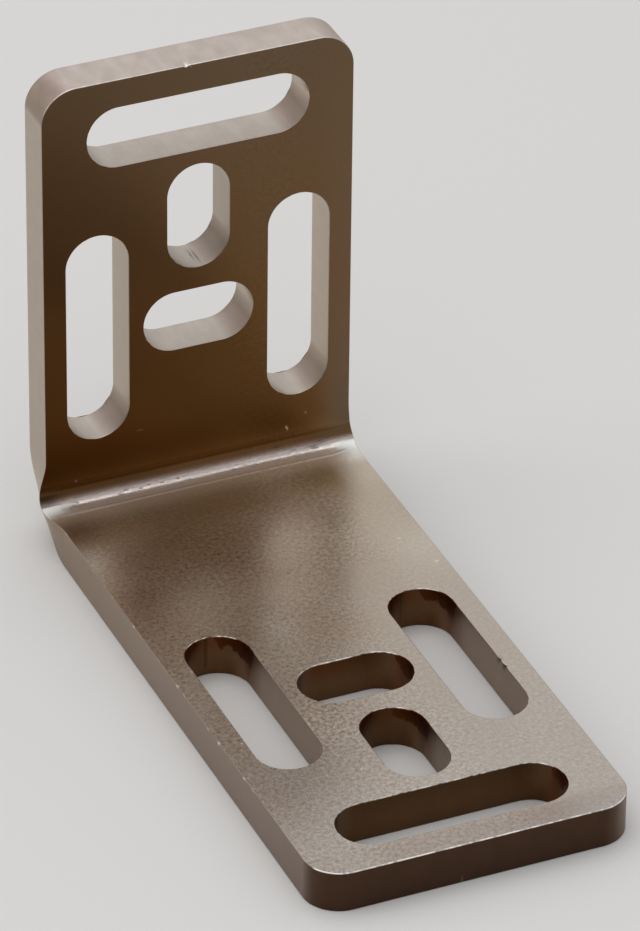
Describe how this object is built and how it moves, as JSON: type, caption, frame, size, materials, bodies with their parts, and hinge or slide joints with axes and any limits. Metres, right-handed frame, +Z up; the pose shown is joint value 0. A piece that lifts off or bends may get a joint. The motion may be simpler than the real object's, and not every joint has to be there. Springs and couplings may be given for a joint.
{
  "type": "mounting bracket",
  "caption": "L-shaped mounting bracket of heavy plated steel, bent to a right angle, with long and short bolt slots in both leaves.",
  "frame": {"origin": "middle of the footprint's bounding box, on the underside of the base leaf", "axes": "+X across the width, +Y toward the upright leaf at the back, +Z up along the upright leaf"},
  "size_m": [0.046, 0.099, 0.0705],
  "materials": {
    "plated_steel": "satin, plated"
  },
  "bodies": {
    "root": {"bracket": "plated_steel"}
  },
  "joints": []
}
